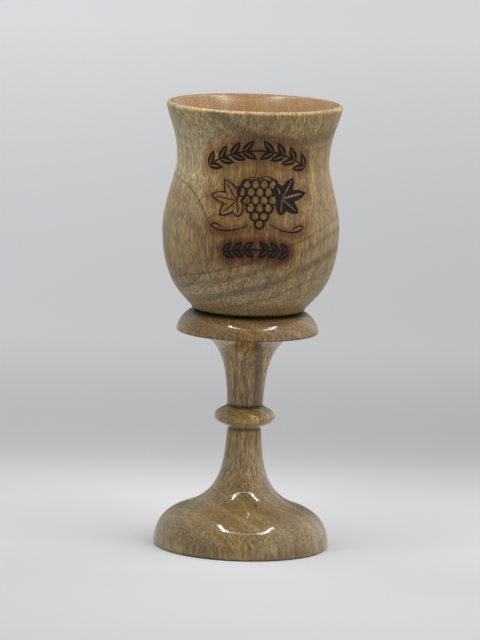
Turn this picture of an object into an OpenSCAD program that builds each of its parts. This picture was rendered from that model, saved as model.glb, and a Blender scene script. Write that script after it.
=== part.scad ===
// Turned wooden goblet in the form of a chalice.
// Five lathe-turned pieces stand on one vertical axis. The upper stem has a round spigot at
// each end: the top one goes through the collar into the bowl, the bottom one through the
// knop into the foot. Each outline is a chain of smooth curves, drawn at the right of the
// axis from the bottom up.
// Millimetres, +Z up. The origin is the centre of the ring that the foot stands on.

/* [Foot] */
// Radius of the foot at its widest
foot_r = 37.4; // [35:0.1:40]
// Height of the foot with its stem, up to the knop
foot_h = 51; // [46:0.5:56]
// Rounding of the foot's bottom edge
foot_edge_r = 1.2; // [0.6:0.1:2]
// Radius where the dome turns into the stem
dome_r = 24.2; // [22:0.1:27]
// Height where the dome turns into the stem
dome_h = 17.4; // [15:0.1:19]
// Slope of the surface there, in degrees above level
dome_slope = 19; // [12:1:30]
// Radius of the stem just under the knop
neck_r = 7.2; // [6.5:0.1:8]
// Inner radius of the flat ring that the foot stands on
rest_r = 30; // [26:0.5:33]
// Depth of the dish that is turned into the underside
dish_depth = 1.5; // [0.5:0.1:2.5]

/* [Knop] */
// Radius of the knop at its widest
knop_r = 12.9; // [11:0.1:14]
// Height of the knop
knop_h = 9.6; // [8:0.1:11]
// Angle between level and the knop's surface where it leaves the stem
knop_slope = 32; // [20:1:40]

/* [Upper stem] */
// Radius of the stem just above the knop
stem_r = 7.7; // [7:0.1:9]
// Height of the stem between the knop and the collar
stem_h = 31.8; // [29:0.1:36]
// Radius of the flare that carries the collar
flare_r = 23.8; // [20:0.1:27]
// Angle between level and the flare where it meets the collar
flare_slope = 11; // [6:1:20]

/* [Collar] */
// Radius of the collar at its widest
collar_r = 30.2; // [28:0.1:33]
// Height of the collar
collar_h = 9.4; // [8:0.1:11]
// Rounding of the collar's bottom edge
collar_edge_r = 0.6; // [0.4:0.1:1.2]
// Radius at the bottom of the groove between collar and bowl
groove_r = 22.4; // [21:0.1:23]
// Radius of the two edges that the groove opens between
groove_mouth_r = 24; // [23.5:0.1:25]

/* [Bowl] */
// Height of the bowl
bowl_h = 88.2; // [80:0.1:96]
// Radius of the belly
belly_r = 37.5; // [35:0.1:40]
// Height of the belly above the bowl's base
belly_h = 35.6; // [32:0.1:39]
// Radius of the waist under the lip
waist_r = 32.2; // [30:0.1:34]
// Height of the waist above the bowl's base
waist_h = 62.7; // [58:0.1:66]
// Radius of the lip at its widest
lip_r = 37.2; // [35:0.1:40]
// Outward lean of the outer wall where it meets the lip, in degrees
lip_lean = 13; // [8:1:18]
// Outward lean of the inner wall where it meets the lip, in degrees
mouth_lean = 28; // [18:1:34]
// Half the thickness of the rounded lip
lip_round = 1.4; // [1:0.1:1.8]
// Thickness of the wall at the waist
waist_wall = 3.4; // [3:0.1:4.5]
// Thickness of the wall at the belly
belly_wall = 4.5; // [3.5:0.1:6]
// Thickness of the bottom of the cup at the axis
base_t = 12; // [11:0.5:16]

/* [Spigots] */
// Radius of the spigot that enters the bowl
bowl_spigot_r = 9; // [7:0.5:11]
// Length of that spigot inside the bowl
bowl_spigot_l = 6.5; // [4:0.5:7]
// Radius of the spigot that enters the foot
foot_spigot_r = 4.5; // [3.5:0.5:5]
// Length of that spigot inside the foot
foot_spigot_l = 12; // [8:1:16]
// Glue line between a spigot and its bore, on the radius
glue_line = 0.05; // [0.02:0.01:0.1]
// Empty space past the end of a spigot
end_gap = 0.5; // [0.2:0.1:1]

/* [Hidden] */
$fn = 96;

// Straight steps in each smooth curve, and in each small rounded edge
curve_steps = 28;
edge_steps = 8;

// Points closer together than this count as one
same_point = 0.001;
// How far a bore runs past the faces that it opens through, so that the cut is clean
bore_over = 1;

// Heights of the seams above the table
knop_z = foot_h;
stem_z = knop_z + knop_h;
collar_z = stem_z + stem_h;
bowl_z = collar_z + collar_h;
goblet_h = bowl_z + bowl_h;

// Opening of the groove between collar and bowl, from the seam down and up to its edges
groove_down = 0.6;
groove_up = 0.7;

// Lean of the stem inwards, just under the knop and just above it, in degrees
neck_lean = 5;
stem_lean = 1;
// Slopes of the dish at the rest ring, of the collar's top and of the bowl's underside, in
// degrees above level
dish_slope = 8;
collar_top_slope = 18;
under_slope = 70;

// How strongly each curve holds its starting and its ending direction
dish_pull = 10;
foot_side_pull = 11.5;
dome_pull = 4.5;
sweep_pull = 17.5;
neck_pull = 13;
knop_edge_pull = 2.3;
knop_seam_pull = 4;
stem_pull = 21;
flare_pull = 11;
collar_side_pull = 3.2;
collar_top_pull = 3;
under_pull = 4.5;
belly_low_pull = 27;
belly_high_pull = 8;
waist_low_pull = 4;
waist_high_pull = 12;
lip_pull = 8;
mouth_pull = 5;
cup_waist_pull = 9;
cup_side_pull = 21;
cup_floor_pull = 24;

wood_golden = [0.55, 0.42, 0.24];
wood_grey = [0.48, 0.39, 0.29];
wood_olive = [0.52, 0.44, 0.31];

// A step of the given length in a direction given in degrees above level
function heading(degrees, length) = length * [cos(degrees), sin(degrees)];

// Smooth curve from a to b: it leaves a along out_dir and reaches b along in_dir, both in
// degrees above level, and each pull says how long it holds that direction
function curve(a, out_dir, out_pull, b, in_dir, in_pull) =
    let (c = a + heading(out_dir, out_pull), d = b - heading(in_dir, in_pull))
    [for (i = [0 : curve_steps]) let (t = i / curve_steps, u = 1 - t)
        u * u * u * a + 3 * u * u * t * c + 3 * u * t * t * d + t * t * t * b];

// Round stretch about a centre, from one angle to another
function round_edge(centre, r, from_deg, to_deg) =
    [for (i = [0 : edge_steps])
        centre + heading(from_deg + (to_deg - from_deg) * i / edge_steps, r)];

// A list of points without those that repeat the one before
function without_repeats(points) =
    [for (i = [0 : len(points) - 1]) if (i == 0 || norm(points[i] - points[i - 1]) > same_point)
        points[i]];

// A piece as it comes off the lathe: its outline turned about the axis
module turned(outline) {
    rotate_extrude() polygon(without_repeats(outline));
}

// Bore along the axis that takes a spigot
module bore(r, from_z, to_z) {
    translate([0, 0, from_z]) cylinder(r = r + glue_line, h = to_z - from_z);
}

// Domed foot that sweeps up into the lower stem, with the dish below and the mortise above
module foot() {
    edge = [foot_r - foot_edge_r, foot_edge_r];
    turn = [dome_r, dome_h];
    outline = concat(
        curve([0, dish_depth], 0, dish_pull, [rest_r, 0], -dish_slope, dish_pull),
        round_edge(edge, foot_edge_r, -90, 0),
        curve([foot_r, foot_edge_r], 90, foot_side_pull, turn, 180 - dome_slope, dome_pull),
        curve(turn, 180 - dome_slope, sweep_pull, [neck_r, knop_z], 90 + neck_lean, neck_pull),
        [[0, knop_z]]);
    color(wood_golden) difference() {
        turned(outline);
        bore(foot_spigot_r, knop_z - foot_spigot_l - end_gap, knop_z + bore_over);
    }
}

// Lens-shaped ring round the middle of the stem
module knop() {
    widest = [knop_r, knop_z + knop_h / 2];
    outline = concat(
        [[0, knop_z]],
        curve([neck_r, knop_z], knop_slope, knop_seam_pull, widest, 90, knop_edge_pull),
        curve(widest, 90, knop_edge_pull, [stem_r, stem_z], 180 - knop_slope, knop_seam_pull),
        [[0, stem_z]]);
    color(wood_golden) difference() {
        turned(outline);
        bore(foot_spigot_r, knop_z - bore_over, stem_z + bore_over);
    }
}

// Trumpet between the knop and the collar, with a spigot at each end
module upper_stem() {
    foot_spigot_z = knop_z - foot_spigot_l;
    bowl_spigot_z = bowl_z + bowl_spigot_l;
    outline = concat(
        [[0, foot_spigot_z], [foot_spigot_r, foot_spigot_z], [foot_spigot_r, stem_z]],
        curve([stem_r, stem_z], 90 - stem_lean, stem_pull, [flare_r, collar_z], flare_slope, flare_pull),
        [[bowl_spigot_r, collar_z], [bowl_spigot_r, bowl_spigot_z], [0, bowl_spigot_z]]);
    color(wood_grey) turned(outline);
}

// Domed disc under the bowl, bored for the stem's spigot
module collar() {
    edge = [collar_r - collar_edge_r, collar_z + collar_edge_r];
    side = [collar_r, collar_z + collar_edge_r];
    mouth = [groove_mouth_r, bowl_z - groove_down];
    outline = concat(
        [[0, collar_z]],
        round_edge(edge, collar_edge_r, -90, 0),
        curve(side, 90, collar_side_pull, mouth, 180 - collar_top_slope, collar_top_pull),
        [[groove_r, bowl_z], [0, bowl_z]]);
    color(wood_golden) difference() {
        turned(outline);
        bore(bowl_spigot_r, collar_z - bore_over, bowl_z + bore_over);
    }
}

// Cup with a thick base, a belly, a waist and a flared, rounded lip
module bowl() {
    belly_z = bowl_z + belly_h;
    waist_z = bowl_z + waist_h;
    lip = [lip_r - lip_round, goblet_h - lip_round];
    lip_out = lip + heading(-lip_lean, lip_round);
    lip_in = lip + heading(180 - mouth_lean, lip_round);
    belly = [belly_r, belly_z];
    waist = [waist_r, waist_z];
    cup_belly = [belly_r - belly_wall, belly_z];
    cup_waist = [waist_r - waist_wall, waist_z];
    outside = concat(
        [[0, bowl_z], [groove_r, bowl_z]],
        curve([groove_mouth_r, bowl_z + groove_up], under_slope, under_pull, belly, 90, belly_low_pull),
        curve(belly, 90, belly_high_pull, waist, 90, waist_low_pull),
        curve(waist, 90, waist_high_pull, lip_out, 90 - lip_lean, lip_pull));
    inside = concat(
        curve(lip_in, -90 - mouth_lean, mouth_pull, cup_waist, -90, cup_waist_pull),
        curve(cup_waist, -90, waist_low_pull, cup_belly, -90, belly_high_pull),
        curve(cup_belly, -90, cup_side_pull, [0, bowl_z + base_t], 180, cup_floor_pull));
    lip_edge = concat(
        round_edge(lip, lip_round, -lip_lean, 90),
        round_edge(lip, lip_round, 90, 180 - mouth_lean));
    color(wood_olive) difference() {
        turned(concat(outside, lip_edge, inside));
        bore(bowl_spigot_r, bowl_z - bore_over, bowl_z + bowl_spigot_l + end_gap);
    }
}

foot();
knop();
upper_stem();
collar();
bowl();
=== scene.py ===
# %% [markdown]
# # A turned wooden goblet
#
# The goblet is made of five pieces of one open-grained hardwood. Each piece was turned on a
# lathe, the pieces were glued together with round spigots, and the whole was varnished. A vine
# is burnt into the front of the bowl with a hot pen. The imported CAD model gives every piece
# its true size and place, so all the shaping here starts from it.

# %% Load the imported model
import math

import bpy
import numpy as np
from mathutils import Matrix, Vector


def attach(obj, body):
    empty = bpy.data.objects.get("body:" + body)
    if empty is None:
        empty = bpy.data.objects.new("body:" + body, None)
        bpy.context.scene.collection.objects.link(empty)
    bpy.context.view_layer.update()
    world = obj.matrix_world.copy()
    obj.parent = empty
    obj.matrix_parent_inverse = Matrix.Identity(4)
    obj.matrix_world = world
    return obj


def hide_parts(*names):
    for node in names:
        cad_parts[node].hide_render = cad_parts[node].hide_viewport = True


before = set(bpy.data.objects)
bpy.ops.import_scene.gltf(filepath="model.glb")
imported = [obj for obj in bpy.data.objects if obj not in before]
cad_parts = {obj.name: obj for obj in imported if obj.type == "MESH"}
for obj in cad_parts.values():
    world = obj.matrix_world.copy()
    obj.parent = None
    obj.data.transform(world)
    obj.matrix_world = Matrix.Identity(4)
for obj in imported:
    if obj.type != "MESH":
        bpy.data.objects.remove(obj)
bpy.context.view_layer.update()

# %% [markdown]
# ## Turning a piece
#
# A lathe makes round work: whatever outline the gouge follows is carried round the axis. The
# spin operator does the same. It needs half an outline, and the surest one is the CAD piece
# itself, sliced down the middle. A modelled profile of our own could drift from the real
# sizes, and the CAD mesh alone is too coarse and uneven for a varnished curve.

# %% Slice a CAD piece down to half its outline
WELD = 1e-6
CENTRE = (0, 0, 0)


def edit_only(piece):
    """Deselect everything else, and open one piece for editing with all of it selected."""
    bpy.ops.object.select_all(action="DESELECT")
    bpy.context.view_layer.objects.active = piece
    piece.select_set(True)
    bpy.ops.object.mode_set(mode="EDIT")
    bpy.ops.mesh.select_all(action="SELECT")


def half_outline(node):
    """A copy of a CAD piece, cut down to the edge of its section at the right of the axis."""
    piece = bpy.data.objects.new(node + "_turned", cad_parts[node].data.copy())
    bpy.context.scene.collection.objects.link(piece)
    piece.data.materials.clear()
    edit_only(piece)
    bpy.ops.mesh.remove_doubles(threshold=WELD)
    bpy.ops.mesh.bisect(
        plane_co=CENTRE, plane_no=(0, 1, 0), clear_inner=True, clear_outer=True, threshold=WELD)
    bpy.ops.mesh.select_all(action="SELECT")
    bpy.ops.mesh.bisect(plane_co=CENTRE, plane_no=(1, 0, 0), clear_inner=True, threshold=WELD)
    bpy.ops.object.mode_set(mode="OBJECT")
    print(piece.name, "outline:", len(piece.data.vertices), "points")
    return piece


# %% Spin the outline round the axis
SHARP = math.radians(40)
SPIN_AXIS = (0, 0, -1)  # spin goes clockwise round its axis, so this one gives anticlockwise
ALL_ROUND = ((160, 360),)


def turn(piece, stretches=ALL_ROUND):
    """Spin an outline about the axis, in stretches of (steps, degrees), into a closed piece."""
    edit_only(piece)
    for steps, degrees in stretches:
        bpy.ops.mesh.spin(
            steps=steps, angle=math.radians(degrees), center=CENTRE, axis=SPIN_AXIS)
    bpy.ops.mesh.select_all(action="SELECT")
    bpy.ops.mesh.remove_doubles(threshold=WELD)
    bpy.ops.mesh.normals_make_consistent(inside=False)
    bpy.ops.object.mode_set(mode="OBJECT")
    bpy.ops.object.shade_smooth_by_angle(angle=SHARP)
    print(piece.name, "turned:", len(piece.data.polygons), "faces")
    return piece


foot = turn(half_outline("foot"))
knop = turn(half_outline("knop"))
upper_stem = turn(half_outline("upper_stem"))
collar = turn(half_outline("collar"))

# %% [markdown]
# ## The bowl
#
# The bowl is turned like the rest, but the pen's lines on its front are 0.4 to 0.7 mm wide,
# so the mesh there has to be a little finer than a line. A mesh that fine all over would be
# several times too heavy. So only the rows at the height of the drawing are made closer, and
# the spin goes round in three stretches: wide steps up to the drawing, narrow steps across
# it, and wide steps back to the start.

# %% Find the outer wall on the outline
DRAWN_BAND = (0.122, 0.183)
WALL_AT_LEAST = 0.002


def mark_outer_wall(outline, low, high):
    """Store 1 on the outline's points that lie outside on the wall between two heights."""
    points = np.array([p.co for p in outline.data.vertices])
    rows = np.abs(points[:, 2:] - points[:, 2]) < WALL_AT_LEAST
    widest = np.where(rows, points[:, 0], 0).max(axis=1)
    height_fits = (points[:, 2] > low) & (points[:, 2] < high)
    outside = height_fits & (points[:, 0] > widest - WALL_AT_LEAST)
    mark = outline.data.attributes.new("outer_wall", "FLOAT", "POINT")
    mark.data.foreach_set("value", outside.astype(np.float32))
    return outside


bowl = half_outline("bowl")
outside = mark_outer_wall(bowl, *DRAWN_BAND)
print("outline points on the outer wall:", int(outside.sum()))

# %% Make the rows closer there, and smooth the corners that the cuts leave
EXTRA_ROWS = 3
SMOOTHING_ROUNDS = 6

edit_only(bowl)
bpy.ops.mesh.select_all(action="DESELECT")
bpy.ops.object.mode_set(mode="OBJECT")
for line in bowl.data.edges:
    line.select = all(outside[i] for i in line.vertices)
bpy.ops.object.mode_set(mode="EDIT")
bpy.ops.mesh.subdivide(number_cuts=EXTRA_ROWS)
bpy.ops.mesh.vertices_smooth(factor=0.5, repeat=SMOOTHING_ROUNDS)
bpy.ops.object.mode_set(mode="OBJECT")
print("bowl outline, with closer rows:", len(bowl.data.vertices), "points")

# %% Turn the bowl in three stretches
DRAWN_CENTRE = 273.7
DRAWN_SWEEP = 86
FINE_STEPS = 160
WIDE_STEP = 3

before = DRAWN_CENTRE - DRAWN_SWEEP / 2
after = 360 - before - DRAWN_SWEEP
turn(bowl, (
    (round(before / WIDE_STEP), before),
    (FINE_STEPS, DRAWN_SWEEP),
    (round(after / WIDE_STEP), after)))

# %% [markdown]
# ## The burnt vine
#
# A hot pen leaves three things: a shallow groove with charred walls, a dark brown line, and an
# amber scorch that fades out over a few millimetres. All three follow from one number at
# every point of the wall: how far it is from the nearest pen mark. A painted image could give
# the colours but no groove. So each mark is described as a row of round pen touches, and the
# distances to them are stored on the mesh.
#
# The drawing is laid out flat, in millimetres: the first number runs to the right along the
# wall from the middle of the drawing, the second is the height above the table.

# %% The part of the wall under the drawing, laid out flat
spots = np.array([p.co for p in bowl.data.vertices]) * 1000
spread = np.hypot(spots[:, 0], spots[:, 1])
turned_by = np.degrees(np.arctan2(spots[:, 1], spots[:, 0])) % 360 - DRAWN_CENTRE
on_wall = np.zeros(len(spots), np.float32)
bowl.data.attributes["outer_wall"].data.foreach_get("value", on_wall)
drawn_on = (on_wall > 0.5) & (np.abs(turned_by) < DRAWN_SWEEP / 2)
flat = np.column_stack((np.radians(turned_by) * spread, spots[:, 2]))[drawn_on]
print("points of the wall under the drawing:", len(flat))

# %% Pen lines, drawn as rows of round touches
FAR_FROM_ANY_MARK = 50.0


def polar(degrees, length):
    """A step of the given length at an angle from level."""
    return length * np.array([math.cos(math.radians(degrees)), math.sin(math.radians(degrees))])


def pen_line(corners, half_width, touches=60):
    """Touches (x, z, radius) of a curve that the corner points pull on; its ends thin out."""
    t = np.linspace(0, 1, touches)[:, None, None]
    level = np.array(corners, float)[None] + 0 * t
    while level.shape[1] > 1:
        level = level[:, :-1] * (1 - t) + level[:, 1:] * t
    ends = np.sin(np.linspace(0.1, 0.9, touches) * math.pi) ** 0.4
    return np.column_stack((level[:, 0], half_width * ends))


def leaf_blade(stalk, degrees, length, half_width, touches=50):
    """Touches that fill a pointed leaf, which grows from its stalk at an angle from level."""
    t = np.linspace(0, 1, touches)
    swell = half_width * np.sin(math.pi * t ** 0.8)
    return np.column_stack((np.array(stalk) + np.outer(t, polar(degrees, length)), swell))


def distance_to(*rows):
    """Distance in millimetres from every drawn-on point to the nearest touch of these rows."""
    nearest = np.full(len(flat), FAR_FROM_ANY_MARK)
    for x, z, radius in np.vstack(rows):
        nearest = np.minimum(nearest, np.hypot(flat[:, 0] - x, flat[:, 1] - z) - radius)
    return nearest


# %% Leaves, made of pen lines
LOBES = ((0, 1), (48, 0.84), (-48, 0.84), (102, 0.56), (-102, 0.56))  # (turned by, length)
LOBE_WIDTH = 0.21
BARE_VEIN = 0.35
DRAWN_VEIN = 0.22
DRAWN_EDGE = 0.3


def small_leaf(stalk, degrees, length, half_width):
    """A charred leaf whose midrib is left as bare wood."""
    rib = pen_line((stalk, stalk + polar(degrees, 0.75 * length)), 0.34, 30)
    return np.maximum(distance_to(leaf_blade(stalk, degrees, length, half_width)),
                      -distance_to(rib))


def vine_leaf(stalk, degrees, length, charred):
    """A leaf with five lobes, spread like a hand: charred with bare veins, or only outlined."""
    blades, veins = [], []
    for turn_by, part in LOBES:
        blades.append(leaf_blade(stalk, degrees + turn_by, part * length, LOBE_WIDTH * length))
        tip = np.array(stalk) + polar(degrees + turn_by, 0.8 * part * length)
        veins.append(pen_line((stalk, tip), BARE_VEIN if charred else DRAWN_VEIN, 40))
    leaf, vein = distance_to(*blades), distance_to(*veins)
    if charred:
        return np.maximum(leaf, -vein)
    return np.minimum(np.abs(leaf) - DRAWN_EDGE, vein)


# %% A garland over the top, and a short one below
LEAF_SPREAD = 38
TWIG_WIDTH = 0.35

marks = []


def garland(low_z, rise, half_length, pairs, length, half_width):
    """Two twigs that meet in the middle of a low arch, each with pairs of leaves along it."""
    ends = [(-half_length, low_z), (half_length, low_z)]
    twig = (ends[0], (0, low_z + 2 * rise), ends[1])
    marks.append(distance_to(pen_line(twig, TWIG_WIDTH, 160)))
    for side in (-1, 1):
        for x in side * half_length * (np.arange(pairs) + 1.25) / (pairs + 0.25):
            stalk = np.array((x, low_z + rise * (1 - (x / half_length) ** 2)))
            uphill = math.degrees(math.atan(2 * rise * abs(x) / half_length ** 2))
            for spread_by in (-LEAF_SPREAD, LEAF_SPREAD):
                way = uphill + spread_by if side < 0 else 180 - uphill - spread_by
                marks.append(small_leaf(stalk, way, length, half_width))


garland(low_z=166.2, rise=7.2, half_length=21.5, pairs=4, length=6.6, half_width=1.45)
garland(low_z=131, rise=1.4, half_length=14, pairs=3, length=5.6, half_width=1.3)
print("marks after the garlands:", len(marks))

# %% A bunch of grapes
GRAPE_ROWS = (4, 5, 4, 3, 2, 1)
GRAPE_STEP = 3.7
ROW_STEP = 3.2
BUNCH_MIDDLE = 1
TOP_ROW_Z = 159.2
BERRY_R = 1.45
SHADOW_R = 2.3

grapes = []
for row, count in enumerate(GRAPE_ROWS):
    for place in range(count):
        x = (place - (count - 1) / 2) * GRAPE_STEP + BUNCH_MIDDLE
        grapes.append((x, TOP_ROW_Z - row * ROW_STEP))
grapes = np.array(grapes)
shadow = np.column_stack((grapes, np.full(len(grapes), SHADOW_R)))
berries = np.column_stack((grapes, np.full(len(grapes), BERRY_R)))
marks.append(np.maximum(distance_to(shadow), -distance_to(berries)))
print("grapes:", len(grapes))

# %% Two vine leaves, with the stems and tendrils that join them to the bunch
RIGHT_LEAF = (10.5, 153.5)
LEFT_LEAF = (-8.5, 152.5)
BUNCH_TOP = (1, 161.5)
STEM_WIDTH = 0.32

marks.append(vine_leaf(RIGHT_LEAF, degrees=10, length=12, charred=True))
marks.append(vine_leaf(LEFT_LEAF, degrees=172, length=11.6, charred=False))

stems = ((LEFT_LEAF, (-8, 160), (-3, 163.5), BUNCH_TOP),
         (RIGHT_LEAF, (10, 160), (5, 164.5), BUNCH_TOP))
tendrils = (((6, 143), (16, 136), (26, 141), (20, 144.5), (16, 141)),
            ((-4, 142.5), (-14, 137), (-25, 141), (-19, 144.8), (-15, 141.5)))
for corners in stems + tendrils:
    marks.append(distance_to(pen_line(corners, STEM_WIDTH, 120)))

burn = np.full(len(spots), FAR_FROM_ANY_MARK)
burn[drawn_on] = np.minimum.reduce(marks)
print("share of the drawn-on wall that is charred:", round(float((burn[drawn_on] < 0).mean()), 3))

# %% Store the distances on the mesh and press the grooves in
GROOVE_DEPTH = 0.00013
GROOVE_WALL_MM = 0.3

distances = bowl.data.attributes.new("burn_mm", "FLOAT", "POINT")
distances.data.foreach_set("value", burn.astype(np.float32))

groove = bowl.vertex_groups.new(name="groove")
pressed = np.clip(-burn / GROOVE_WALL_MM, 0, 1)
for index in np.flatnonzero(pressed > 0):
    groove.add([int(index)], float(pressed[index]), "REPLACE")
press = bowl.modifiers.new("press", "DISPLACE")
press.vertex_group = "groove"
press.strength = -GROOVE_DEPTH
press.mid_level = 0
edit_only(bowl)
bpy.ops.object.mode_set(mode="OBJECT")
bpy.ops.object.modifier_apply(modifier="press")
bowl.vertex_groups.clear()
print("points pressed in:", int((pressed > 0).sum()))

# %% [markdown]
# ## Materials
#
# Mango wood, which such turned ware is often made of, is olive tan with grey and golden
# bands. Its open pores show as short dark dashes along the grain and as dots on end grain, and
# both come free when the pattern is a solid one: a block of wood in space, through which the
# outline cuts. A picture wrapped round the bowl would have a seam and no end grain.
#
# The block is made from three things. Growth rings are told by the distance from the pith,
# the middle of the tree, which for pieces this size lies outside the piece. Fibres and pores
# are noise stretched along the grain. Broad patches shift the colour as heartwood does.

# %% Colours and shader nodes
MM = (0.001, 0.001, 0.001)
FACTOR, FIRST, SECOND = 0, 6, 7
MIX = {"out": 2, "data_type": "RGBA"}
TINT = {"out": 2, "data_type": "RGBA", "blend_type": "MULTIPLY"}
SOFT = {"interpolation_type": "SMOOTHSTEP"}
FROM_POINT = {"vector_type": "TEXTURE"}  # a Mapping that measures from its own Location


def linear(colour):
    """A hex colour as the eye sees it, turned into the amounts of light that shaders use."""
    parts = [int(colour[i:i + 2], 16) / 255 for i in (1, 3, 5)]
    light = [c / 12.92 if c <= 0.04045 else ((c + 0.055) / 1.055) ** 2.4 for c in parts]
    return (*light, 1)


def add(tree, kind, inputs=(), out=0, **settings):
    """Add a node, set its options and inputs, and return the output asked for.

    Inputs are a dictionary by name or place, or a row in the node's own order. Each is a
    number, a colour, a vector or another node's output. A MapRange takes the value, the
    stretch it comes from and the stretch it goes to.
    """
    made = tree.nodes.new("ShaderNode" + kind)
    for name, value in settings.items():
        setattr(made, name, value)
    for name, value in (inputs.items() if isinstance(inputs, dict) else enumerate(inputs)):
        if isinstance(value, bpy.types.NodeSocket):
            tree.links.new(value, made.inputs[name])
        else:
            made.inputs[name].default_value = value
    return made.outputs[out]


# %% Grain and growth rings
DRIFT_SIZE_MM = 34
DRIFT_BY_MM = 14


def grain(tree, block, across_mm, along_mm, detail, low, high):
    """Noise drawn out along the grain; its fibres are as wide and as long as given."""
    drawn_out = (1 / across_mm, 1 / across_mm, 1 / along_mm)
    block = add(tree, "Mapping", {"Vector": block, "Scale": drawn_out})
    noise = add(tree, "TexNoise", {"Vector": block, "Scale": 1, "Detail": detail})
    return add(tree, "MapRange", (noise, low, high, 0, 1), **SOFT)


def slow_drift(tree, block):
    """A sideways drift in mm, which keeps growth lines from being perfect circles."""
    noise = add(tree, "TexNoise", {
        "Vector": block, "Scale": 1 / DRIFT_SIZE_MM, "Detail": 3}, "Color")
    noise = add(tree, "VectorMath", (noise, (0.5, 0.5, 0.5)), operation="SUBTRACT")
    return add(tree, "VectorMath", {0: noise, "Scale": DRIFT_BY_MM}, operation="SCALE")


def growth_rings(tree, place, drift, pith, lean, ring_mm):
    """Broad bands and thin lines of dark wood, from the distance to the pith."""
    log = add(tree, "Mapping", {
        "Vector": place, "Location": pith, "Rotation": lean, "Scale": MM}, **FROM_POINT)
    log = add(tree, "VectorMath", (log, drift), operation="ADD")
    log = add(tree, "VectorMath", (log, (1, 1, 0)), operation="MULTIPLY")
    depth = add(tree, "VectorMath", (log,), "Value", operation="LENGTH")
    growth = add(tree, "TexNoise", {
        "W": depth, "Scale": 1 / ring_mm, "Detail": 3, "Roughness": 0.6}, noise_dimensions="1D")
    band = add(tree, "MapRange", (growth, 0.4, 0.66, 0, 1), **SOFT)
    line = add(tree, "Math", (growth, 0.5), operation="SUBTRACT")
    line = add(tree, "Math", (line,), operation="ABSOLUTE")
    return band, add(tree, "MapRange", (line, 0, 0.035, 1, 0), **SOFT)


# %% Lines that belong to one piece: its figure, a painted highlight on the bowl's lip, and dark lines of stain and painted shade at its seams
ARC_DRIFT = 0.4
STAIN_AND_SHADE_BROWN = "#20150d"
SEAM_HALF_MM = 0.3


def draw_arcs(tree, colour, place_mm, drift, coarse, arcs):
    """Arcs of heartwood, which lie across the block as the growth rings of a branch do. A pale
    band along the bowl's lip is a painted highlight.

    Each is ((x, z) of its middle, radius, half its width, strength, colour), in mm.
    """
    drift = add(tree, "VectorMath", {0: drift, "Scale": ARC_DRIFT}, operation="SCALE")
    bent = add(tree, "VectorMath", (place_mm, drift), operation="ADD")
    bent = add(tree, "VectorMath", (bent, (1, 0, 1)), operation="MULTIPLY")
    uneven = add(tree, "MapRange", (coarse, 0, 1, 0.6, 1), **SOFT)
    for (x, z), radius, half_width, strength, tint in arcs:
        away = add(tree, "VectorMath", (bent, (x, 0, z)), "Value", operation="DISTANCE")
        away = add(tree, "Math", (away, radius), operation="SUBTRACT")
        away = add(tree, "Math", (away,), operation="ABSOLUTE")
        near = add(tree, "MapRange", (away, 0.3 * half_width, half_width, strength, 0), **SOFT)
        near = add(tree, "Math", (near, uneven), operation="MULTIPLY")
        colour = add(tree, "Mix", {FACTOR: near, FIRST: colour, SECOND: linear(tint)}, **MIX)
    return colour


def draw_stain_and_shade_lines(tree, colour, height, stain_and_shade_lines):
    """Stain and painted shade at given heights, such as where two pieces meet, as (height, reach,
    strength).
    """
    for z, reach, strength in stain_and_shade_lines:
        near = add(tree, "Math", (height, z), operation="SUBTRACT")
        near = add(tree, "Math", (near,), operation="ABSOLUTE")
        near = add(tree, "MapRange", (near, SEAM_HALF_MM, reach, strength, 0), **SOFT)
        colour = add(tree, "Mix", {FACTOR: near, FIRST: colour, SECOND: linear(STAIN_AND_SHADE_BROWN)}, **MIX)
    return colour


# %% Turned wood
PATCH_SIZE_MM = 28
FLECK_BROWN = "#6b4526"
PORE_BROWN = "#3a2b1d"
VARNISH_IOR = 1.5


def lay_over(tree, colour, layers):
    """Lay tints over a colour, each as strongly as its own pattern and its share say."""
    for pattern, share, tint in layers:
        amount = add(tree, "Math", (pattern, share), operation="MULTIPLY")
        colour = add(tree, "Mix", {FACTOR: amount, FIRST: colour, SECOND: linear(tint)}, **MIX)
    return colour


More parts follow.
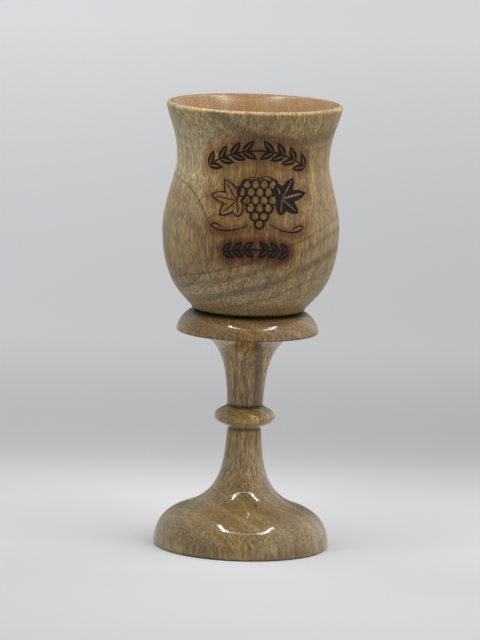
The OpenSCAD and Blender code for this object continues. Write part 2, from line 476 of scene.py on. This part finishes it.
def turned_wood(name, pale, dark, golden, pith, lean=(0, 0, 0), ring_mm=8, cut=(0, 0, 0),
                arcs=(), stain_and_shade_lines=(), bands=0.4, lines=0.4, streaks=0.12, fibres=0.27, pores=0.45,
                flecks=0.3, golden_share=0.6, roughness=0.5, gloss=1.0, gloss_roughness=0.08,
                soaked=0.1, relief_depth=0.00008):
    """Solid wood: growth bands about the pith, arcs of dark heartwood, fibres and pores.

    Pith and cut are the places, in metres, of the tree's middle and of the block's own start,
    so that no two pieces show the same grain. Bands to flecks say how strongly each shows.
    """
    material = bpy.data.materials.new(name)
    material.use_nodes = True
    tree = material.node_tree
    shader = tree.nodes["Principled BSDF"]
    place = add(tree, "TexCoord", out="Object")
    place_mm = add(tree, "Mapping", {"Vector": place, "Scale": MM}, **FROM_POINT)
    block = add(tree, "Mapping", {"Vector": place, "Location": cut, "Scale": MM}, **FROM_POINT)
    drift = slow_drift(tree, block)
    band, line = growth_rings(tree, place, drift, pith, lean, ring_mm)

    # Mango's pores are 0.2 mm wide and a few mm long. Here pores and fibres are 0.5 mm wide,
    # because thinner ones would melt together in a render of the whole goblet.
    coarse = grain(tree, block, 1.4, 40, 2, 0.3, 0.7)
    fibre = grain(tree, block, 0.5, 7, 1, 0.36, 0.64)
    pore = grain(tree, block, 0.5, 2.4, 0, 0.5, 0.75)
    fleck = grain(tree, block, 1.3, 11, 2, 0.56, 0.7)
    patch = grain(tree, block, PATCH_SIZE_MM, PATCH_SIZE_MM, 1, 0.3, 0.7)

    colour = lay_over(tree, linear(pale), (
        (patch, golden_share, golden), (band, bands, dark), (line, lines, dark)))
    colour = draw_arcs(tree, colour, place_mm, drift, coarse, arcs)
    for noise, swing in ((coarse, streaks), (fibre, fibres)):
        shade = add(tree, "MapRange", (noise, 0, 1, 1 - swing, 1 + swing), **SOFT)
        colour = add(tree, "Mix", {FACTOR: 1, FIRST: colour, SECOND: shade}, **TINT)
    colour = lay_over(tree, colour, ((fleck, flecks, FLECK_BROWN), (pore, pores, PORE_BROWN)))
    colour = draw_stain_and_shade_lines(tree, colour, add(tree, "SeparateXYZ", (place_mm,), "Z"), stain_and_shade_lines)
    tree.links.new(colour, shader.inputs["Base Color"])

    relief = add(tree, "Bump", {"Height": pore, "Strength": 0.5, "Distance": relief_depth},
                 invert=True)
    tree.links.new(relief, shader.inputs["Normal"])

    # A clear coat over wood whose own shine is mostly gone, because varnish soaked into it.
    for socket, value in (
            ("Roughness", roughness), ("IOR", VARNISH_IOR), ("Specular IOR Level", soaked),
            ("Coat Weight", gloss), ("Coat Roughness", gloss_roughness)):
        shader.inputs[socket].default_value = value
    print(name, "has", len(tree.nodes), "nodes")
    return material, colour


# %% Heights of the seams between the pieces, in mm
# At each of these heights the wood gets a dark line, part stain and part painted shade.
FOOT_SEAM = 51
KNOP_SEAM = 60.6
STEM_SEAM = 92.4
BOWL_SEAM = 101.8

# %% Bowl, outside: dull olive tan wood under a thin satin varnish
# The satin coat gives the eye a soft, pale veil at the sides and no crisp reflection. A thin ring
# of a side branch bulges at the left of the drawing, grey heartwood crosses the bottom in thin
# arcs, the upper left is pale sapwood and the foot of the bowl is golden. The lip is paler still,
# a painted highlight where its top catches the light from above.
GREY_HEART = "#453729"
BOWL_PITH = (0.052, 0.036, 0)

bowl_arcs = (((0, 3104), 3000, 5, 0.6, "#7d5622"),
             ((-27, 172), 0, 24, 0.65, "#bcae88"),
             ((-10, 108), 0, 24, 0.3, "#b8a684"),
             ((-99.8, 397.5), 300, 2.2, 0.6, GREY_HEART),
             ((-99.8, 397.5), 293, 1.6, 0.45, GREY_HEART),
             ((-99.8, 397.5), 288.5, 0.8, 0.5, GREY_HEART),
             ((-99.8, 397.5), 306, 0.8, 0.4, GREY_HEART),
             ((16, 231), 54, 3.0, 0.5, GREY_HEART),
             ((16, 231), 58.5, 0.8, 0.4, GREY_HEART),
             ((-42.5, 134.4), 27.1, 0.5, 0.75, "#4d3219"),
             ((-42.5, 134.4), 21, 2.5, 0.3, "#6d3c22"),
             # A pale band along the lip: a painted highlight where it catches the light from
             # above.
             ((0, 3190.6), 3000, 2.4, 0.7, "#d8b785"))
bowl_wood, bowl_colour = turned_wood(
    "mango_wood_satin_varnish", "#9f885c", "#625036", "#8f713a",
    pith=BOWL_PITH, ring_mm=9, cut=(0.03, 0, 0.02), arcs=bowl_arcs, bands=0.3,
    stain_and_shade_lines=((BOWL_SEAM, 1.8, 0.85),), gloss=0.25, gloss_roughness=0.3, soaked=0.3)

# %% Bowl, inside: plain tan wood under a thick coat
# A thick coat covers the pores here, so their colour is faint, and the wood looks warm, with broad
# highlights. Its tan is kept pale and greyish, which is partly a painted sheen of the coat.
cup_wood, _ = turned_wood(
    "mango_wood_gloss_varnish_inside", "#a5845a", "#86602f", "#9a7342",
    pith=BOWL_PITH, ring_mm=9, pores=0.1, streaks=0.06, fibres=0.08, flecks=0.1,
    gloss=0.8, gloss_roughness=0.26, relief_depth=0.0002)

# %% Collar: golden brown wood under gloss
# The grain runs up through the disc, so it shows as fine dots on top and as dashes on the rim,
# and the coat gives a small, crisp highlight.
collar_wood, _ = turned_wood(
    "mango_wood_gloss_varnish_collar", "#947747", "#523d25", "#815e30",
    pith=(0.01, 0.05, 0.1), lean=(0.9, 0.2, 0), ring_mm=6, cut=(0.09, 0, 0),
    stain_and_shade_lines=((BOWL_SEAM, 1.8, 0.9), (STEM_SEAM, 0.8, 0.4)), gloss=0.8, gloss_roughness=0.11)

# %% Upper stem: long grain with dark streaks
# The growth rings are cut along their length, so they run up the stem, darkest at the right.
stem_arcs = (((3005, 60), 3000, 3, 0.75, "#3f2c1c"),
             ((-3004.2, 60), 3000, 1.0, 0.4, "#33261a"),
             ((-3001.2, 60), 3000, 0.6, 0.35, "#33261a"))
stem_wood, _ = turned_wood(
    "mango_wood_gloss_varnish_stem", "#b0925f", "#503f30", "#9c7541",
    pith=(0.03, 0.02, 0), lean=(0.05, -0.1, 0), ring_mm=5, cut=(0, 0.09, 0), streaks=0.3,
    arcs=stem_arcs, stain_and_shade_lines=((KNOP_SEAM, 1.8, 0.7), (STEM_SEAM, 1.2, 0.5)), relief_depth=0.00005)

# %% Knop: golden wood under the glossiest coat of the five
# This coat is the smoothest, so whatever it reflects is sharper than on the other pieces.
knop_wood, _ = turned_wood(
    "mango_wood_gloss_varnish_knop", "#ac8f56", "#614a29", "#997131",
    pith=(0.01, 0.05, 0.06), lean=(0.9, 0.2, 0), ring_mm=5, cut=(0, 0, 0.09),
    stain_and_shade_lines=((KNOP_SEAM, 1.0, 0.6), (FOOT_SEAM, 1.0, 0.5)), gloss_roughness=0.04)

# %% Foot: golden brown wood under a bright gloss
# Long grain runs up its stem and turns into dots on the dome. Lamps show as crisp marks.
foot_wood, _ = turned_wood(
    "mango_wood_gloss_varnish_foot", "#97804f", "#4d3b28", "#7e6134",
    pith=(0.045, 0.04, 0), lean=(0.25, 0.15, 0), ring_mm=7, cut=(0.09, 0.09, 0),
    arcs=(((0, 42), 0, 20, 0.25, "#c8ae80"),), fibres=0.3, lines=0.2,
    # The dark line at height 0, where the foot stands on the table, is painted contact shadow.
    stain_and_shade_lines=((FOOT_SEAM, 1.6, 0.6), (0, 0.9, 0.5)), relief_depth=0.00004)

# %% Char and scorch on the bowl
# Char is a matt brown black. Round it the heat turned the wood brown and, further out, amber.
# The pen lingered on the low garland, so the wood round it is browner.
AMBER_REACH = 8
BROWN_REACH = 4.5
LINGERED_FROM = (0.146, 0.134)
CHAR_EDGE = (-0.1, 0.3)
CHAR_BROWN = "#150d08"

tree = bowl_wood.node_tree
shader = tree.nodes["Principled BSDF"]
distance = add(tree, "Attribute", out="Fac", attribute_name="burn_mm")
height = add(tree, "SeparateXYZ", (add(tree, "TexCoord", out="Object"),), "Z")
colour = bowl_colour
for reach, weakest, tint in ((AMBER_REACH, 0.8, "#dab766"), (BROWN_REACH, 0.3, "#b48a58")):
    fade = add(tree, "MapRange", (distance, 0, reach, 1, 0), **SOFT)
    heat = add(tree, "MapRange", (height, *LINGERED_FROM, weakest, 1), **SOFT)
    amount = add(tree, "Math", (fade, heat), operation="MULTIPLY")
    colour = add(tree, "Mix", {FACTOR: amount, FIRST: colour, SECOND: linear(tint)}, **TINT)
char = add(tree, "MapRange", (distance, *CHAR_EDGE, 1, 0), **SOFT)
colour = add(tree, "Mix", {FACTOR: char, FIRST: colour, SECOND: linear(CHAR_BROWN)}, **MIX)
tree.links.new(colour, shader.inputs["Base Color"])
for name, on_char, beside in (("Roughness", 0.85, 0.5), ("Coat Weight", 0, 0.25)):
    finish = add(tree, "MapRange", (distance, *CHAR_EDGE, on_char, beside), **SOFT)
    tree.links.new(finish, shader.inputs[name])
print(bowl_wood.name, "with the burn has", len(tree.nodes), "nodes")

# %% Put the finishes on and hand the pieces to the frame
finishes = ((foot, "foot", foot_wood), (knop, "knop", knop_wood),
            (upper_stem, "upper_stem", stem_wood), (collar, "collar", collar_wood),
            (bowl, "bowl", bowl_wood))
for piece, node, finish in finishes:
    piece.data.materials.append(finish)
    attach(piece, "root")
    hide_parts(node)
    print(piece.name, "stands for", node, "in", finish.name)

# %% The inside of the cup gets its own finish
CUP_Z = 0.1125
LIP_CREST_R = 0.0358
LEVEL_ENOUGH = 0.5


def inside_cup(face):
    """Whether a face of the bowl looks into the cup."""
    middle = face.center
    reach = math.hypot(middle.x, middle.y)
    inward = middle.x * face.normal.x + middle.y * face.normal.y < 0
    upward = face.normal.z > LEVEL_ENOUGH
    return middle.z > CUP_Z and reach < LIP_CREST_R and (inward or upward)


bowl.data.materials.append(cup_wood)
for face in bowl.data.polygons:
    face.material_index = int(inside_cup(face))
print("faces inside the cup:", sum(face.material_index for face in bowl.data.polygons))

# %% [markdown]
# ## The studio
#
# The goblet stands in a light tent: a pale, flat floor that fills the view behind it, soft
# white sides, and a horseshoe of small lamps overhead, whose reflections make the crisp marks
# on the varnish.

# %% Floor
# Matt paper with no shine. Its grey carries painted light and shade: it changes with the distance
# behind the goblet and a little from left to right, and far back it glows with painted light. Each
# row says where a change starts, where it ends, and what it adds at either end.
FLOOR_SIZE = 16
FLOOR_CENTRE = (0, 2, 0)
PAPER_GREY_AND_PAINTED_FALLOFF = ((-0.09, 0.05, 0.64, 0.82), (0.09, 0.24, 0, -0.17), (0.22, 0.6, 0, 0.25))
SIDE_SHADE = (-0.2, 0.2, 0.02, -0.07)
SHADED_BEHIND = (0.1, 0.3, 0, 1)
FAR_PAINTED_GLOW = (0.4, 2.4, 0, 0.2)

bpy.ops.object.select_all(action="DESELECT")
bpy.ops.mesh.primitive_plane_add(size=FLOOR_SIZE, location=FLOOR_CENTRE)
floor = bpy.context.object
floor.name = "floor"
bpy.ops.object.transform_apply(location=True)

paper = bpy.data.materials.new("matt_paper_with_painted_light")
paper.use_nodes = True
tree = paper.node_tree
shader = tree.nodes["Principled BSDF"]
shader.inputs["Roughness"].default_value = 0.9
shader.inputs["Specular IOR Level"].default_value = 0.0
place = add(tree, "TexCoord", out="Object")
behind = add(tree, "SeparateXYZ", (place,), "Y")
across = add(tree, "SeparateXYZ", (place,), "X")
grey = 0
for row in PAPER_GREY_AND_PAINTED_FALLOFF:
    change = add(tree, "MapRange", (behind, *row), **SOFT)
    grey = add(tree, "Math", (grey, change), operation="ADD")
sideways = add(tree, "MapRange", (across, *SIDE_SHADE), **SOFT)
far = add(tree, "MapRange", (behind, *SHADED_BEHIND), **SOFT)
shade = add(tree, "Math", (sideways, far), operation="MULTIPLY")
grey = add(tree, "Math", (grey, shade), operation="ADD")
tree.links.new(add(tree, "CombineColor", (grey, grey, grey)), shader.inputs["Base Color"])

shader.inputs["Emission Color"].default_value = linear("#f4f4f6")
painted_glow = add(tree, "MapRange", (behind, *FAR_PAINTED_GLOW))
tree.links.new(painted_glow, shader.inputs["Emission Strength"])
floor.data.materials.append(paper)
print("floor:", FLOOR_SIZE, "metres across")

# %% The tent's walls: dim in the middle, brighter to the left and brightest to the right
DIM_MIDDLE = (0.18, 0.18, 0.19, 1)
LEFT_WALL = (0.72, 0.73, 0.76, 1)
RIGHT_WALL = (1.12, 1.12, 1.14, 1)
WALL_FROM, WALL_TO = 0.08, 0.7

world = bpy.data.worlds.new("tent")
bpy.context.scene.world = world
world.use_nodes = True
tree = world.node_tree
side = add(tree, "SeparateXYZ", (add(tree, "TexCoord", out="Generated"),), "X")
tent = DIM_MIDDLE
for way, wall in ((-1, LEFT_WALL), (1, RIGHT_WALL)):
    amount = add(tree, "MapRange", (side, way * WALL_FROM, way * WALL_TO, 0, 1), **SOFT)
    tent = add(tree, "Mix", {FACTOR: amount, FIRST: tent, SECOND: wall}, **MIX)
tree.links.new(tent, tree.nodes["Background"].inputs["Color"])
print("the tent has", len(tree.nodes), "nodes")


# %% Lamps: a half ring of small ones at the front, and a long strip at either side of it
def soft_light(name, place, size, watts):
    """A rectangular lamp that shines down and that the camera does not see."""
    lamp = bpy.data.lights.new(name, "AREA")
    lamp.shape = "RECTANGLE"
    lamp.size, lamp.size_y = size
    lamp.energy = watts
    holder = bpy.data.objects.new(name, lamp)
    bpy.context.scene.collection.objects.link(holder)
    holder.location = place
    straight_down = Vector((0, 0.001, -place[2]))
    holder.rotation_euler = straight_down.to_track_quat("-Z", "Y").to_euler()
    holder.visible_camera = False
    return holder


HEAD_Z = 0.38
HEAD_X = (-0.108, 0.170)
HEAD_Y = (-0.20, 0.0)
LED_SIZE = (0.045, 0.014)
LED_WATTS = 0.085
LED_DIMMEST, LED_SIDE_GAIN = 0.14, 0.8  # the ones at the sides of the half ring are brighter
STRIP_SIZE = (0.016, 0.15)
STRIP_Y = -0.04
STRIP_WATTS = 0.3

middle_x, half_x = sum(HEAD_X) / 2, (HEAD_X[1] - HEAD_X[0]) / 2
middle_y, half_y = sum(HEAD_Y) / 2, (HEAD_Y[1] - HEAD_Y[0]) / 2
for count, degrees in enumerate(range(180, 361, 20)):
    x = middle_x + half_x * math.cos(math.radians(degrees))
    y = middle_y + half_y * math.sin(math.radians(degrees))
    at_side = abs(math.cos(math.radians(degrees)))
    share = LED_DIMMEST + LED_SIDE_GAIN * at_side ** 4
    soft_light(f"led_{count}", (x, y, HEAD_Z), LED_SIZE, LED_WATTS * share)
for name, x in (("left", HEAD_X[0]), ("right", HEAD_X[1])):
    soft_light(f"strip_{name}", (x, STRIP_Y, HEAD_Z), STRIP_SIZE, STRIP_WATTS)

# %% Camera: two metres away, so that the goblet's shape is hardly drawn in by distance
EYE = (-0.0033, -2.0, 0.405)
AIM = Vector((-0.0033, 0, 0.097))
ROLL = math.radians(1.9)
LENS_MM = 267.8
SENSOR_MM = 36

camera = bpy.data.objects.new("camera", bpy.data.cameras.new("camera"))
bpy.context.scene.collection.objects.link(camera)
camera.location = EYE
look = (AIM - camera.location).to_track_quat("-Z", "Y").to_matrix().to_4x4()
camera.rotation_euler = (look @ Matrix.Rotation(ROLL, 4, "Z")).to_euler()
camera.data.lens = LENS_MM
camera.data.sensor_width = SENSOR_MM
bpy.context.scene.camera = camera
bpy.context.scene.view_settings.view_transform = "Standard"
looks_down = math.degrees(math.atan2(EYE[2] - AIM.z, -EYE[1]))
print("camera looks down by", round(looks_down, 1), "degrees")
